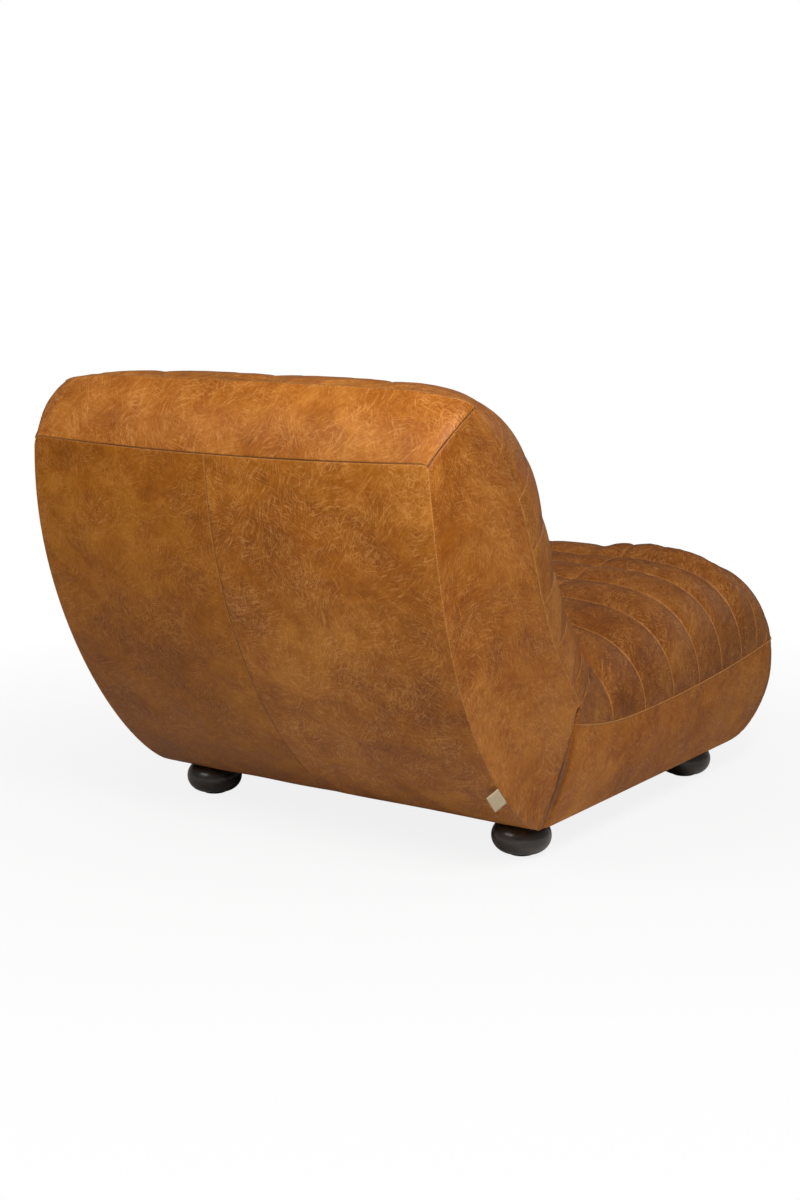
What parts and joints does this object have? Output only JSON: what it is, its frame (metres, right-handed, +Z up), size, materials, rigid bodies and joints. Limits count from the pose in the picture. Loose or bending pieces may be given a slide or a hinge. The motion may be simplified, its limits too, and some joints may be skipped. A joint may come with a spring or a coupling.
{
  "type": "lounge chair",
  "caption": "Low armless lounge chair with a reclined quilted back, a deep quilted seat, leather covers and turned bun feet.",
  "frame": {"origin": "on the floor, under the middle of the chair's outline", "axes": "+Z up, the sitter faces -Y, +X on the sitter's left"},
  "size_m": [0.7622, 1.1585, 0.7253],
  "materials": {
    "leather": "tan pull-up leather, satin, mottled with fine scratches",
    "foam": "polyurethane foam",
    "wadding": "polyester wadding",
    "webbing": "woven elastic webbing",
    "lining_cloth": "non-woven lining cloth",
    "tag_cloth": "blank cotton tag",
    "felt": "pressed felt",
    "foot_wood": "turned beech, dark brown satin lacquer",
    "steel": "zinc plated",
    "plywood": "birch plywood, unfinished",
    "frame_wood": "pine, unfinished"
  },
  "bodies": {
    "root": {"back_outer_left": "leather", "back_outer_right": "leather", "back_gusset_left": "leather", "back_gusset_right": "leather", "back_gusset_top": "leather", "back_quilt": "leather", "back_foam": "foam", "back_wadding": "wadding", "back_panel_board": "plywood", "back_gable_left": "plywood", "back_gable_right": "plywood", "back_center_rib": "plywood", "back_top_rail": "frame_wood", "back_mid_rail": "frame_wood", "back_lower_rail": "frame_wood", "back_webbing": "webbing", "back_top_pad": "foam", "back_side_pad_left": "foam", "back_side_pad_right": "foam", "back_lining": "lining_cloth", "seat_quilt": "leather", "seat_border_left": "leather", "seat_border_right": "leather", "seat_border_front": "leather", "seat_foam": "foam", "seat_front_pad": "foam", "seat_side_pad_left": "foam", "seat_side_pad_right": "foam", "seat_deck_cloth": "lining_cloth", "seat_springs": "steel", "spring_clips": "steel", "seat_gable_left": "plywood", "seat_gable_right": "plywood", "seat_front_rail": "frame_wood", "seat_rear_rail": "frame_wood", "seat_cross_rail": "frame_wood", "seat_nose_rail": "frame_wood", "seat_nose_board": "frame_wood", "base_rail_front": "frame_wood", "base_rail_rear": "frame_wood", "base_rail_left": "frame_wood", "base_rail_right": "frame_wood", "corner_blocks": "frame_wood", "seat_lining": "lining_cloth", "joint_bolts": "steel", "joint_washers": "steel", "joint_nuts": "steel", "foot_rear_left": "foot_wood", "foot_rear_right": "foot_wood", "foot_front_left": "foot_wood", "foot_front_right": "foot_wood", "foot_glides": "felt", "hanger_bolts": "steel", "foot_inserts": "steel", "dust_cover": "lining_cloth", "label_tag": "tag_cloth"}
  },
  "joints": []
}
